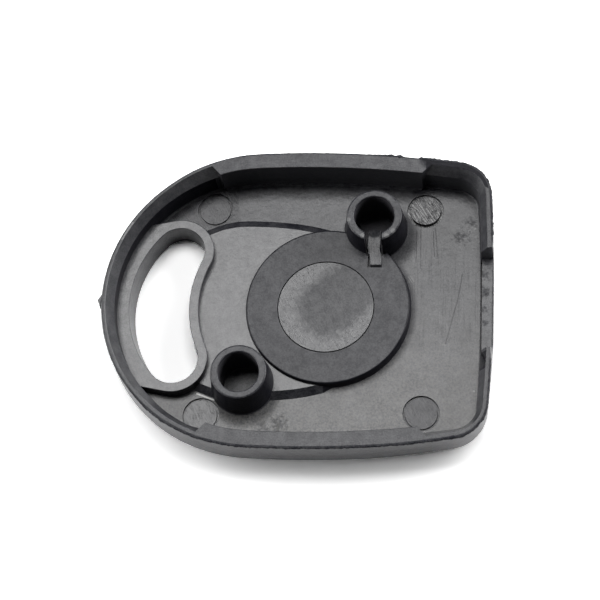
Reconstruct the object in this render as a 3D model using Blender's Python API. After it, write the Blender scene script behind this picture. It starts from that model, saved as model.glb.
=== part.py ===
"""Cover half of a moulded car key shell, with its plain emblem disc and bonding ring.

The cover lies on its outer face with its open side up: +X is the blade end, -X the keyring
end, +Z the open side. The origin is the centre of the outer face, where it rests.
"""
import math

import bmesh
import bpy
from mathutils import Vector

MM = 0.001

# Outline of the cover where its wall is widest, seen from above
LENGTH = 40.20 * MM
WIDTH = 32.54 * MM
SIDE_RADIUS = 110.1 * MM
SIDE_CREST_X = 0.30 * MM
BLADE_END_RADIUS = 200.1 * MM
CORNER_RADIUS = 3.90 * MM

# Heights and walls
HEIGHT = 5.50 * MM
FLOOR = 1.50 * MM
WALL = 1.30 * MM
OUTER_EDGE_RADIUS = 2.50 * MM
OUTER_DRAFT = 0.12 * MM
FLOOR_FILLET = 0.35 * MM

# Rim: a thin lip with a sloped inner face, filled up by a ledge along each long side
LIP_WIDTH = 0.40 * MM
LIP_DROP = 1.20 * MM
LEDGE_WIDTH = 1.68 * MM
LEDGE_KEYRING_END_X = -9.35 * MM
LEDGE_BLADE_END_X = 13.25 * MM
LEDGE_END_SLANT = 0.85 * MM

# Cut in the blade end's wall, where the blade's neck passes
BLADE_OPENING_WIDTH = 10.74 * MM
BLADE_SILL_RISE = 1.15 * MM

# Kidney shaped keyring slot and the collar round it
SLOT_END_MARGIN = 2.50 * MM
SLOT_OUTER_RADIUS = 11.45 * MM
SLOT_INNER_RADIUS = 12.04 * MM
SLOT_WIDTH = 6.07 * MM
SLOT_END_Y = 5.96 * MM
COLLAR_WIDTH = 1.00 * MM
COLLAR_RISE = 1.35 * MM
COLLAR_SHOULDER_SHARE = 0.80

# Round pad, and the low plateau that joins it to the collar
PAD_X = 2.80 * MM
PAD_RADIUS = 8.35 * MM
PAD_RISE = 0.93 * MM
PLATEAU_RISE = 0.50 * MM
PLATEAU_WIDTH = 18.70 * MM
PLATEAU_SIDE_RADIUS = 22.0 * MM
PLATEAU_CREST_X = -3.40 * MM
PLATEAU_SLOPE_RUN = 0.60 * MM

# Hollow bosses that take the other half's pins, one of them slotted
PLAIN_BOSS_X = -5.50 * MM
PLAIN_BOSS_Y = -8.22 * MM
SLOTTED_BOSS_X = 7.75 * MM
SLOTTED_BOSS_Y = 9.00 * MM
BOSS_TOP_RADIUS = 2.78 * MM
BOSS_DRAFT_WIDENING = 0.25 * MM
BOSS_BORE_RADIUS = 2.16 * MM
BOSS_SLOT_WIDTH = 1.65 * MM
RIB_WIDTH = 1.15 * MM
RIB_RISE = 1.28 * MM
RIB_REACH = 4.40 * MM

# Round marks that the mould's ejector pins leave on the floor
MARK_RADIUS = 1.76 * MM
MARK_DEPTH = 0.10 * MM
MARK_SIDE_MARGIN = 4.92 * MM
MARK_KEYRING_MARGIN = 10.45 * MM
MARK_BLADE_MARGIN = 7.27 * MM

# Emblem disc: a flange in the outer face's recess, and a spigot through the round pad
SPIGOT_RADIUS = 4.95 * MM
EMBLEM_CLEARANCE = 0.08 * MM
EMBLEM_FLANGE_WIDTH = 1.95 * MM
EMBLEM_FLANGE_THICKNESS = 0.55 * MM
EMBLEM_SINK = 0.10 * MM
EMBLEM_EDGE_BEVEL = 0.12 * MM
ADHESIVE_THICKNESS = 0.15 * MM
ADHESIVE_MARGIN = 0.30 * MM
LAYER_GAP = 0.05 * MM

# Overlap of joined solids, and overrun of cutters past the faces that they cut
EMBED = 0.40 * MM
OVERRUN = 1.00 * MM

# Outline points closer than this are one point
SAME_POINT = 0.0005 * MM

# Segments of the round forms
END_STEPS = 36
SIDE_STEPS = 10
CORNER_STEPS = 8
BLADE_END_STEPS = 8
EDGE_STEPS = 5
SLOT_END_STEPS = 16
SLOT_SIDE_STEPS = 12
FILLET_STEPS = 3
ROUND_STEPS = 64
BORE_STEPS = 40
SMOOTH_ANGLE = math.radians(35)

# Levels, insets from the widest outline, and places that follow from the sizes
LIP_INSET = OUTER_DRAFT + LIP_WIDTH
WALL_INSET = OUTER_DRAFT + WALL
LEDGE_INSET = OUTER_DRAFT + LEDGE_WIDTH
COLLAR_TOP = FLOOR + COLLAR_RISE
PLATEAU_TOP = FLOOR + PLATEAU_RISE
PAD_TOP = FLOOR + PAD_RISE
SILL_TOP = FLOOR + BLADE_SILL_RISE
FLANGE_TOP = EMBLEM_SINK + EMBLEM_FLANGE_THICKNESS
ADHESIVE_BASE = FLANGE_TOP + LAYER_GAP
ADHESIVE_TOP = ADHESIVE_BASE + ADHESIVE_THICKNESS
RECESS_DEPTH = ADHESIVE_TOP + LAYER_GAP
EMBLEM_FLANGE_RADIUS = SPIGOT_RADIUS + EMBLEM_FLANGE_WIDTH
PAD_CENTRE = Vector((PAD_X, 0.0))
PLAIN_BOSS = Vector((PLAIN_BOSS_X, PLAIN_BOSS_Y))
SLOTTED_BOSS = Vector((SLOTTED_BOSS_X, SLOTTED_BOSS_Y))


def clear_scene():
    for obj in list(bpy.data.objects):
        bpy.data.objects.remove(obj, do_unlink=True)


def make_material(name, colour, roughness, metallic=0.0):
    material = bpy.data.materials.new(name)
    material.use_nodes = True
    shader = material.node_tree.nodes["Principled BSDF"]
    shader.inputs["Base Color"].default_value = (*colour, 1.0)
    shader.inputs["Roughness"].default_value = roughness
    shader.inputs["Metallic"].default_value = metallic
    return material


def bearing(vector):
    return math.atan2(vector.y, vector.x)


def arc(centre, radius, start, end, steps):
    """Points on an arc from the angle start to the angle end, both included."""
    turns = [start + (end - start) * i / steps for i in range(steps + 1)]
    return [centre + radius * Vector((math.cos(a), math.sin(a))) for a in turns]


def mirrored(points):
    """The same run of points on the other side of the X axis, in reversed order."""
    return [Vector((p.x, -p.y)) for p in reversed(points)]


def joined(*runs):
    """One closed outline from runs that meet at shared end points."""
    points = []
    for run in runs:
        for point in run:
            if not points or (point - points[-1]).length > SAME_POINT:
                points.append(point)
    if (points[0] - points[-1]).length < SAME_POINT:
        points.pop()
    return points


def circles_meet(first, first_radius, second, second_radius):
    """The upper of the two points where two circles cross."""
    apart = second - first
    distance = apart.length
    along = (first_radius ** 2 - second_radius ** 2 + distance ** 2) / (2 * distance)
    across = math.sqrt(first_radius ** 2 - along ** 2)
    foot = first + apart * (along / distance)
    side = Vector((-apart.y, apart.x)) * (across / distance)
    return max(foot + side, foot - side, key=lambda point: point.y)


def shell_arcs():
    """Centres and radii of the arcs of the cover's outline, and the angles where they meet."""
    side_centre = Vector((SIDE_CREST_X, WIDTH / 2 - SIDE_RADIUS))
    reach = -LENGTH / 2 - SIDE_CREST_X
    spare = SIDE_RADIUS * WIDTH - WIDTH ** 2 / 4 - reach ** 2
    round_radius = spare / (2 * (SIDE_RADIUS + reach))
    round_centre = Vector((-LENGTH / 2 + round_radius, 0.0))
    end_centre = Vector((LENGTH / 2 - BLADE_END_RADIUS, 0.0))
    corner_centre = circles_meet(
        side_centre, SIDE_RADIUS - CORNER_RADIUS, end_centre, BLADE_END_RADIUS - CORNER_RADIUS)
    return {
        "round": (round_centre, round_radius),
        "side": (side_centre, SIDE_RADIUS),
        "end": (end_centre, BLADE_END_RADIUS),
        "corner": (corner_centre, CORNER_RADIUS),
        "round_start": bearing(round_centre - side_centre),
        "side_start": bearing(corner_centre - side_centre),
        "corner_start": bearing(corner_centre - end_centre),
    }


def shell_outline(inset):
    """The cover's outline, moved inwards by inset, anticlockwise."""
    arcs = shell_arcs()

    def run(name, start, end, steps):
        centre, radius = arcs[name]
        return arc(centre, radius - inset, start, end, steps)

    blade_end = run("end", -arcs["corner_start"], arcs["corner_start"], BLADE_END_STEPS)
    corner = run("corner", arcs["corner_start"], arcs["side_start"], CORNER_STEPS)
    side = run("side", arcs["side_start"], arcs["round_start"], SIDE_STEPS)
    round_end = run("round", arcs["round_start"], 2 * math.pi - arcs["round_start"], END_STEPS)
    return joined(blade_end, corner, side, round_end, mirrored(side), mirrored(corner))


def slot_arcs():
    """Centres of the kidney shaped slot's two sides and upper round end, and that end's radius.

    The end's circle touches both sides, so its radius solves a quadratic.
    """
    outer_x = -LENGTH / 2 + SLOT_END_MARGIN
    outer_centre = Vector((outer_x + SLOT_OUTER_RADIUS, 0.0))
    inner_centre = Vector((outer_x + SLOT_WIDTH + SLOT_INNER_RADIUS, 0.0))
    apart = inner_centre.x - outer_centre.x
    steep = (SLOT_OUTER_RADIUS + SLOT_INNER_RADIUS) / apart
    start = (apart + steep * (SLOT_OUTER_RADIUS - SLOT_INNER_RADIUS)) / 2
    linear = start * steep - SLOT_OUTER_RADIUS
    constant = start ** 2 + SLOT_END_Y ** 2 - SLOT_OUTER_RADIUS ** 2
    square = steep ** 2 - 1
    end_radius = (linear + math.sqrt(linear ** 2 - square * constant)) / square
    end_centre = Vector((outer_centre.x + start - steep * end_radius, SLOT_END_Y))
    return outer_centre, inner_centre, end_centre, end_radius


def slot_outline():
    outer_centre, inner_centre, end_centre, end_radius = slot_arcs()
    inner_start = bearing(inner_centre - end_centre)
    outer_start = bearing(end_centre - outer_centre)
    end = arc(end_centre, end_radius, inner_start, outer_start, SLOT_END_STEPS)
    outer = arc(
        outer_centre, SLOT_OUTER_RADIUS, outer_start, 2 * math.pi - outer_start, SLOT_SIDE_STEPS)
    inner = arc(
        inner_centre, SLOT_INNER_RADIUS,
        math.pi - inner_start, math.pi + inner_start, SLOT_SIDE_STEPS)
    return joined(end, outer, mirrored(end), inner)


def collar_outline():
    """The slot's edge moved outwards, with straight shoulders into the round end's wall."""
    outer_centre, inner_centre, end_centre, slot_end_radius = slot_arcs()
    round_centre, round_radius = shell_arcs()["round"]
    wall_radius = round_radius - OUTER_DRAFT - WALL / 2
    end_radius = slot_end_radius + COLLAR_WIDTH
    shoulder_y = end_centre.y + COLLAR_SHOULDER_SHARE * end_radius
    wall_start = math.pi - math.asin(shoulder_y / wall_radius)
    shoulder = round_centre + wall_radius * Vector((math.cos(wall_start), math.sin(wall_start)))
    apart = shoulder - end_centre
    inner_start = bearing(inner_centre - end_centre)
    shoulder_start = bearing(apart) - math.acos(end_radius / apart.length)
    end = arc(end_centre, end_radius, inner_start, shoulder_start, SLOT_END_STEPS)
    wall = arc(round_centre, wall_radius, wall_start, 2 * math.pi - wall_start, END_STEPS // 2)
    inner = arc(
        inner_centre, SLOT_INNER_RADIUS - COLLAR_WIDTH,
        math.pi - inner_start, math.pi + inner_start, SLOT_SIDE_STEPS)
    return joined(end, wall, mirrored(end), inner)


def plateau_outline(outset):
    """The plateau's edge, moved outwards by outset: from under the collar to under the pad."""
    crest_radius = PLATEAU_SIDE_RADIUS + outset
    crest_centre = Vector((PLATEAU_CREST_X, PLATEAU_WIDTH / 2 - PLATEAU_SIDE_RADIUS))
    collar_x = slot_arcs()[2].x
    start = math.acos((PAD_X - PLATEAU_CREST_X) / crest_radius)
    end = math.acos((collar_x - PLATEAU_CREST_X) / crest_radius)
    side = arc(crest_centre, crest_radius, start, end, SLOT_SIDE_STEPS)
    run_out_radius = PAD_RADIUS - PLATEAU_SLOPE_RUN
    run_out = PAD_CENTRE + run_out_radius * Vector((math.sin(math.pi / 6), math.cos(math.pi / 6)))
    return joined([run_out], side, mirrored(side), mirrored([run_out]))


def stack_mesh(name, layers):
    """A closed solid through outlines of equal point counts, given from the lowest up."""
    mesh = bmesh.new()
    rings = [[mesh.verts.new((p.x, p.y, z)) for p in points] for points, z in layers]
    count = len(rings[0])
    mesh.faces.new(list(reversed(rings[0])))
    mesh.faces.new(rings[-1])
    for low, high in zip(rings, rings[1:]):
        for i in range(count):
            j = (i + 1) % count
            mesh.faces.new((low[i], low[j], high[j], high[i]))
    data = bpy.data.meshes.new(name)
    mesh.to_mesh(data)
    mesh.free()
    return data


def add_object(name, data, material=None):
    obj = bpy.data.objects.new(name, data)
    bpy.context.scene.collection.objects.link(obj)
    if material is not None:
        data.materials.append(material)
    return obj


def add_guide(name, layers):
    """A solid that only joins to, or cuts, another one."""
    guide = add_object(name, stack_mesh(name, layers))
    guide.hide_render = True
    guide.display_type = "WIRE"
    return guide


def prism(outline, low, high):
    return [(outline, low), (outline, high)]


def disc(centre, radius, steps=ROUND_STEPS):
    return arc(centre, radius, 0.0, 2 * math.pi * (steps - 1) / steps, steps - 1)


def rectangle(left, right, near, far):
    return [Vector((left, near)), Vector((right, near)), Vector((right, far)), Vector((left, far))]


def combine(target, guide, operation):
    modifier = target.modifiers.new(guide.name, "BOOLEAN")
    modifier.operation = operation
    modifier.object = guide
    modifier.solver = "EXACT"


def outer_layers():
    """The cover's outside: flat outer face, rounded edge, and wall with its draft."""
    turns = [math.pi / 2 * i / EDGE_STEPS for i in range(EDGE_STEPS + 1)]
    edge = [
        (shell_outline(OUTER_EDGE_RADIUS * (1 - math.sin(a))), OUTER_EDGE_RADIUS * (1 - math.cos(a)))
        for a in turns]
    return edge + [(shell_outline(OUTER_DRAFT), HEIGHT)]


def floor_fillet_layers(wall_inset):
    """The foot of a cavity's wall, rounded into the floor."""
    turns = [math.pi / 2 * i / FILLET_STEPS for i in range(FILLET_STEPS + 1)]
    return [
        (shell_outline(wall_inset + FLOOR_FILLET * (1 - math.sin(a))),
         FLOOR + FLOOR_FILLET * (1 - math.cos(a)))
        for a in turns]


def ledge_face_layers():
    """The space between the two ledges, which shapes their inner faces."""
    foot = [(shell_outline(LEDGE_INSET + FLOOR_FILLET), FLOOR - 2 * OVERRUN)]
    return foot + floor_fillet_layers(LEDGE_INSET) + [
        (shell_outline(LEDGE_INSET), HEIGHT + 3 * OVERRUN)]


def wall_cavity_layers():
    """The hollow inside the plain wall, widening along the lip's sloped face."""
    return floor_fillet_layers(WALL_INSET) + [
        (shell_outline(WALL_INSET), HEIGHT - LIP_DROP),
        (shell_outline(LIP_INSET), HEIGHT),
        (shell_outline(LIP_INSET), HEIGHT + OVERRUN)]


def ledge_block(side):
    """The stretch of the rim that a ledge fills, with slanted ends; side is +1 or -1."""
    near = side * (WIDTH / 2 - LEDGE_INSET - LEDGE_END_SLANT)
    far = side * (WIDTH / 2 + OVERRUN)
    slant = abs(far - near)
    points = [
        Vector((LEDGE_KEYRING_END_X + LEDGE_END_SLANT, near)),
        Vector((LEDGE_BLADE_END_X - LEDGE_END_SLANT, near)),
        Vector((LEDGE_BLADE_END_X - LEDGE_END_SLANT + slant, far)),
        Vector((LEDGE_KEYRING_END_X + LEDGE_END_SLANT - slant, far))]
    return points if side > 0 else list(reversed(points))


def make_hollow(cover):
    """Cut the inside and the blade opening, leaving the wall, the lip and the two ledges."""
    hollow = add_guide("cut_inside_wall", wall_cavity_layers())
    between = add_guide("space_between_ledges", ledge_face_layers())
    for side, name in ((1, "far_ledge"), (-1, "near_ledge")):
        ledge = add_guide(name, prism(ledge_block(side), FLOOR - OVERRUN, HEIGHT + 2 * OVERRUN))
        combine(ledge, between, "DIFFERENCE")
        combine(hollow, ledge, "DIFFERENCE")
    combine(cover, hollow, "DIFFERENCE")
    opening = rectangle(
        LENGTH / 2 - WALL_INSET - FLOOR_FILLET, LENGTH / 2 + OVERRUN,
        -BLADE_OPENING_WIDTH / 2, BLADE_OPENING_WIDTH / 2)
    opening_guide = add_guide("cut_blade_opening", prism(opening, SILL_TOP, HEIGHT + OVERRUN))
    combine(cover, opening_guide, "DIFFERENCE")


def add_raised_forms(cover):
    """Collar, plateau, pad and bosses, which all stand on the floor."""
    root = FLOOR - EMBED
    plateau = [
        (plateau_outline(PLATEAU_SLOPE_RUN), root),
        (plateau_outline(PLATEAU_SLOPE_RUN), FLOOR),
        (plateau_outline(0.0), PLATEAU_TOP)]
    combine(cover, add_guide("add_plateau", plateau), "UNION")
    combine(cover, add_guide("add_collar", prism(collar_outline(), root, COLLAR_TOP)), "UNION")
    combine(cover, add_guide("add_pad", prism(disc(PAD_CENTRE, PAD_RADIUS), root, PAD_TOP)), "UNION")
    for centre, name in ((PLAIN_BOSS, "add_plain_boss"), (SLOTTED_BOSS, "add_slotted_boss")):
        boss = [
            (disc(centre, BOSS_TOP_RADIUS + BOSS_DRAFT_WIDENING, BORE_STEPS), root),
            (disc(centre, BOSS_TOP_RADIUS, BORE_STEPS), HEIGHT)]
        combine(cover, add_guide(name, boss), "UNION")


def cut_openings(cover):
    """Keyring slot, boss bores, and the slotted boss's mouth with its rib."""
    slot = prism(slot_outline(), -OVERRUN, COLLAR_TOP + OVERRUN)
    combine(cover, add_guide("cut_keyring_slot", slot), "DIFFERENCE")
    for centre, name in ((PLAIN_BOSS, "cut_plain_bore"), (SLOTTED_BOSS, "cut_slotted_bore")):
        bore = prism(disc(centre, BOSS_BORE_RADIUS, BORE_STEPS), FLOOR, HEIGHT + OVERRUN)
        combine(cover, add_guide(name, bore), "DIFFERENCE")
    mouth = rectangle(
        SLOTTED_BOSS_X - BOSS_SLOT_WIDTH / 2, SLOTTED_BOSS_X + BOSS_SLOT_WIDTH / 2,
        SLOTTED_BOSS_Y - BOSS_TOP_RADIUS - BOSS_DRAFT_WIDENING, SLOTTED_BOSS_Y)
    mouth_guide = add_guide("cut_boss_mouth", prism(mouth, PAD_TOP, HEIGHT + OVERRUN))
    combine(cover, mouth_guide, "DIFFERENCE")
    rib = rectangle(
        SLOTTED_BOSS_X - RIB_WIDTH / 2, SLOTTED_BOSS_X + RIB_WIDTH / 2,
        SLOTTED_BOSS_Y - RIB_REACH, SLOTTED_BOSS_Y - BOSS_BORE_RADIUS / 2)
    combine(cover, add_guide("add_rib", prism(rib, FLOOR - EMBED, FLOOR + RIB_RISE)), "UNION")


def cut_emblem_seat(cover):
    """The stepped hole for the emblem: a wide recess outside, and a bore through the pad."""
    recess = disc(PAD_CENTRE, EMBLEM_FLANGE_RADIUS + EMBLEM_CLEARANCE)
    bore = disc(PAD_CENTRE, SPIGOT_RADIUS + EMBLEM_CLEARANCE)
    recess_guide = add_guide("cut_emblem_recess", prism(recess, -OVERRUN, RECESS_DEPTH))
    combine(cover, recess_guide, "DIFFERENCE")
    bore_guide = add_guide("cut_emblem_bore", prism(bore, -OVERRUN, PAD_TOP + OVERRUN))
    combine(cover, bore_guide, "DIFFERENCE")


def mark_ejector_pins(cover):
    """Four round witness marks, three sunk and one raised."""
    keyring_x = -LENGTH / 2 + MARK_KEYRING_MARGIN
    blade_x = LENGTH / 2 - MARK_BLADE_MARGIN
    side_y = WIDTH / 2 - MARK_SIDE_MARGIN
    sunk = (
        ("cut_mark_keyring_far", keyring_x, side_y),
        ("cut_mark_keyring_near", keyring_x, -side_y),
        ("cut_mark_blade_near", blade_x, -side_y))
    for name, x, y in sunk:
        mark = disc(Vector((x, y)), MARK_RADIUS, BORE_STEPS)
        guide = add_guide(name, prism(mark, FLOOR - MARK_DEPTH, FLOOR + MARK_DEPTH))
        combine(cover, guide, "DIFFERENCE")
    raised = disc(Vector((blade_x, side_y)), MARK_RADIUS, BORE_STEPS)
    guide = add_guide("add_mark_blade_far", prism(raised, FLOOR - EMBED, FLOOR + MARK_DEPTH))
    combine(cover, guide, "UNION")


def smooth_round_faces(obj):
    """Smooth shading that keeps the real edges sharp."""
    obj.data.shade_smooth()
    obj.data.set_sharp_from_angle(angle=SMOOTH_ANGLE)


def make_cover(material):
    cover = add_object("cover_shell", stack_mesh("cover_shell", outer_layers()), material)
    smooth_round_faces(cover)
    make_hollow(cover)
    add_raised_forms(cover)
    cut_openings(cover)
    cut_emblem_seat(cover)
    mark_ejector_pins(cover)
    return cover


def make_emblem(material):
    """Plain round emblem: a bare bevelled flange, and the spigot whose end shows inside."""
    face = EMBLEM_FLANGE_RADIUS - EMBLEM_EDGE_BEVEL
    layers = [
        (disc(PAD_CENTRE, face), EMBLEM_SINK),
        (disc(PAD_CENTRE, EMBLEM_FLANGE_RADIUS), EMBLEM_SINK + EMBLEM_EDGE_BEVEL),
        (disc(PAD_CENTRE, EMBLEM_FLANGE_RADIUS), FLANGE_TOP),
        (disc(PAD_CENTRE, SPIGOT_RADIUS), FLANGE_TOP),
        (disc(PAD_CENTRE, SPIGOT_RADIUS), PAD_TOP)]
    emblem = add_object("emblem_blank", stack_mesh("emblem_blank", layers), material)
    smooth_round_faces(emblem)
    return emblem


def make_adhesive(material):
    """Flat ring that bonds the emblem's flange to the bottom of the recess."""
    inner = disc(PAD_CENTRE, SPIGOT_RADIUS + ADHESIVE_MARGIN)
    outer = disc(PAD_CENTRE, EMBLEM_FLANGE_RADIUS - ADHESIVE_MARGIN)
    mesh = bmesh.new()
    loops = [
        [mesh.verts.new((p.x, p.y, z)) for p in points]
        for points, z in (
            (outer, ADHESIVE_BASE), (outer, ADHESIVE_TOP),
            (inner, ADHESIVE_TOP), (inner, ADHESIVE_BASE))]
    for low, high in zip(loops, loops[1:] + loops[:1]):
        for i in range(ROUND_STEPS):
            j = (i + 1) % ROUND_STEPS
            mesh.faces.new((low[i], low[j], high[j], high[i]))
    data = bpy.data.meshes.new("emblem_adhesive_ring")
    mesh.to_mesh(data)
    mesh.free()
    ring = add_object("emblem_adhesive_ring", data, material)
    smooth_round_faces(ring)
    return ring


def main():
    clear_scene()
    black_plastic = make_material("black_satin_plastic", (0.022, 0.022, 0.024), 0.42)
    emblem_plastic = make_material("emblem_plastic", (0.030, 0.030, 0.031), 0.48)
    adhesive = make_material("adhesive_foam", (0.055, 0.055, 0.058), 0.85)
    make_cover(black_plastic)
    make_emblem(emblem_plastic)
    make_adhesive(adhesive)


main()
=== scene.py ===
"""A moulded car key shell cover with its emblem disc, dressed and lit for a still picture.

Everything is in metres in the frame of the CAD model: the cover rests on its outer face with
its open side up, +X is the blade end and -X the keyring end.
"""
import math

import bmesh
import bpy
from mathutils import Euler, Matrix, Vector, noise


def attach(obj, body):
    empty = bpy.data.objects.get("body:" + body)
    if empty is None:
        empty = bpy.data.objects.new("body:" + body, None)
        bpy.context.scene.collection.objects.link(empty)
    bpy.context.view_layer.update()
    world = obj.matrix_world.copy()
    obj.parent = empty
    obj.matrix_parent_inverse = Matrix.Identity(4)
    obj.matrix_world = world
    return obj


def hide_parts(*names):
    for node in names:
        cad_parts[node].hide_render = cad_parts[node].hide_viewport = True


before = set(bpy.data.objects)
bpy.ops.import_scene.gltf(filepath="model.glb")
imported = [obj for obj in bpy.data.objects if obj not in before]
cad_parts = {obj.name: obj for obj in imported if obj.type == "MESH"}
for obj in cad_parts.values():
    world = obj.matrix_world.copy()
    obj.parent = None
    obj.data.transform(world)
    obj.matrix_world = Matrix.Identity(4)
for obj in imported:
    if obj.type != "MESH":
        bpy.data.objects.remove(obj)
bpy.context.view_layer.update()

MM = 0.001
SEED = 11

# Sizes that repeat those of the CAD source
LENGTH = 40.20 * MM
WIDTH = 32.54 * MM
SIDE_RADIUS = 110.1 * MM
SIDE_CREST_X = 0.30 * MM
BLADE_END_RADIUS = 200.1 * MM
CORNER_RADIUS = 3.90 * MM
HEIGHT = 5.50 * MM
FLOOR = 1.50 * MM
WALL = 1.30 * MM
OUTER_DRAFT = 0.12 * MM
FLOOR_FILLET = 0.35 * MM
LIP_WIDTH = 0.40 * MM
LIP_DROP = 1.20 * MM
LEDGE_WIDTH = 1.68 * MM
LEDGE_KEYRING_END_X = -9.35 * MM
LEDGE_BLADE_END_X = 13.25 * MM
LEDGE_END_SLANT = 0.85 * MM
BLADE_OPENING_WIDTH = 10.74 * MM
BLADE_SILL_RISE = 1.15 * MM
SLOT_END_MARGIN = 2.50 * MM
SLOT_OUTER_RADIUS = 11.45 * MM
SLOT_INNER_RADIUS = 12.04 * MM
SLOT_WIDTH = 6.07 * MM
SLOT_END_Y = 5.96 * MM
COLLAR_WIDTH = 1.00 * MM
COLLAR_RISE = 1.35 * MM
COLLAR_SHOULDER_SHARE = 0.80
PAD_RADIUS = 8.35 * MM
PAD_RISE = 0.93 * MM
PLATEAU_RISE = 0.50 * MM
PLATEAU_WIDTH = 18.70 * MM
PLATEAU_SIDE_RADIUS = 22.0 * MM
PLATEAU_CREST_X = -3.40 * MM
PLATEAU_SLOPE_RUN = 0.60 * MM
BOSS_TOP_RADIUS = 2.78 * MM
BOSS_DRAFT_WIDENING = 0.25 * MM
BOSS_BORE_RADIUS = 2.16 * MM
BOSS_SLOT_WIDTH = 1.65 * MM
RIB_RISE = 1.28 * MM
RIB_REACH = 4.40 * MM
MARK_RADIUS = 1.76 * MM
MARK_SIDE_MARGIN = 4.92 * MM
MARK_KEYRING_MARGIN = 10.45 * MM
MARK_BLADE_MARGIN = 7.27 * MM
SPIGOT_RADIUS = 4.95 * MM
EMBLEM_CLEARANCE = 0.08 * MM
EMBLEM_FLANGE_RADIUS = 6.90 * MM
EMBLEM_FLANGE_THICKNESS = 0.55 * MM
EMBLEM_SINK = 0.10 * MM
EMBLEM_EDGE_BEVEL = 0.12 * MM
RECESS_DEPTH = 0.90 * MM

PAD_CENTRE = Vector((2.80 * MM, 0.0))
PLAIN_BOSS = Vector((-5.50 * MM, -8.22 * MM))
SLOTTED_BOSS = Vector((7.75 * MM, 9.00 * MM))
BOSSES = {"plain": PLAIN_BOSS, "slotted": SLOTTED_BOSS}

# Rounds, fillets and drafts of the real moulding, which the CAD solids leave out
RIM_ROUND = 0.20 * MM
EDGE_ROUND = 0.07 * MM
FOOT_ROUND = 0.16 * MM
FOOT_FILLET = 0.20 * MM
COLLAR_ROUND = 0.10 * MM
PAD_ROUND = 0.20 * MM
PAD_FOOT = 0.08 * MM
PAD_DRAFT = 0.15 * MM
BOSS_ROUND = 0.20 * MM
BOSS_FOOT_WIDENING = 0.42 * MM
BORE_ROUND = 0.16 * MM
RIB_ROUND = 0.13 * MM
GAP_EDGE_ROUND = 0.03 * MM

# Its own edge radius and bore floor, and how its other sizes depart from the CAD model's
OUTER_EDGE_RADIUS = 1.85 * MM
BORE_FLOOR = 0.85 * MM
COLLAR_EXTRA = 0.10 * MM
PAD_EXTRA = 0.13 * MM
PAD_SHIFT = Vector((0.18 * MM, 0.11 * MM))
RING_EXTRA = 0.08 * MM
MOUTH_EXTRA = 0.12 * MM
PLATEAU_EASING = 0.24 * MM
SLOT_TOP_EXTRA = 0.12 * MM
SLOT_FOOT_EXTRA = -0.05 * MM

# Its hollow departs from the CAD outline over these spans, from none to all; before the near
# ledge's keyring end the lip is wider and the wall under it thinner
BLADE_END_SHIFT = 0.16 * MM
BLADE_END_SHIFT_SPAN = (15.5 * MM, 18.4 * MM)
WALL_THINNING = 0.22 * MM
WALL_THIN_SPAN = (-9.0 * MM, -17.0 * MM)
LIP_EXTRA = 0.28 * MM
LIP_EXTRA_SPAN = (9.0 * MM, 17.5 * MM)
NEAR_LIP_SHARE = 0.45
NEAR_SPAN_X = (-8.5 * MM, -10.3 * MM)
NEAR_SPAN_Y = (-8.0 * MM, -12.0 * MM)

# The ejector pins' marks; the shifts are in millimetres
MARK_GROOVE = 0.20 * MM
RAISED_MARK_GROOVE = 0.30 * MM
MARK_GROOVE_DEPTH = 0.22 * MM
MARK_SINK = 0.05 * MM
MARK_LIFT = 0.18 * MM
MARK_SHIFTS = {
    "keyring_far": (0.16, 0.0), "keyring_near": (0.0, -0.30), "blade_near": (0.0, 0.19),
    "blade_far": (0.07, -0.16)}

# How far the plateau's two long edges bend out of the CAD arc, as (place along X, amount) in
# millimetres
PLATEAU_FAR_BEND = (
    (-11.0, 0.0), (-10.0, 0.07), (-9.4, 0.14), (-8.9, 0.24), (-8.3, 0.30), (-6.8, 0.31),
    (-5.7, 0.21), (-4.4, 0.08), (-3.0, 0.0), (-1.4, -0.05), (0.2, -0.08), (2.8, -0.08))
PLATEAU_NEAR_BEND = (
    (-11.0, 0.10), (-10.0, 0.22), (-9.2, 0.31), (-8.8, 0.36), (-7.0, 0.32), (-5.5, 0.18),
    (-3.9, 0.02), (2.8, 0.02))

# Hollows at the blade opening's ends, as a floor level and corners seen from above, in millimetres
SCOOPS = {
    "near": (3.40, ((18.60, -7.45), (19.00, -7.40), (19.26, -7.05), (19.32, -6.50), (19.22, -6.05),
                    (19.02, -5.70), (18.86, -5.45), (18.80, -5.25), (18.60, -5.25))),
    "sill_foot": (1.30, ((18.74, -5.30), (18.86, -5.30), (18.86, 5.30), (18.74, 5.30))),
    "rib_nick": (2.00, ((6.99, 4.45), (7.22, 4.45), (7.20, 5.75), (7.04, 5.75))),
}

# How far the real moulding's wall stands outside the CAD outline, by direction in degrees, and
# how much further in its foot is, in millimetres
OUT_OF_TRUE = (
    (0, 0.0), (23, 0.10), (36, 0.20), (43, 0.07), (75, 0.05), (100, 0.04), (127, 0.0),
    (139, -0.07), (151, 0.0), (164, 0.09), (183, 0.22), (208, 0.23), (226, 0.19), (243, 0.04),
    (260, 0.0), (306, 0.0), (317, -0.18), (324, -0.25), (330, -0.15), (336, -0.10), (348, 0.0),
    (360, 0.0))
FOOT_TUCK = ((0, 0.0), (296, 0.0), (314, 0.26), (328, 0.26), (346, 0.0), (360, 0.0))
TRUE_REACH = 1.80 * MM

# The rib's sides as (left, right, distance from the boss's centre), from its root to its tip
RIB_SIDES = ((-0.76, 0.64, 0.60), (-0.88, 0.58, 2.55), (-0.52, 0.72, 3.55), (-0.50, 0.74, 4.50))

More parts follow.
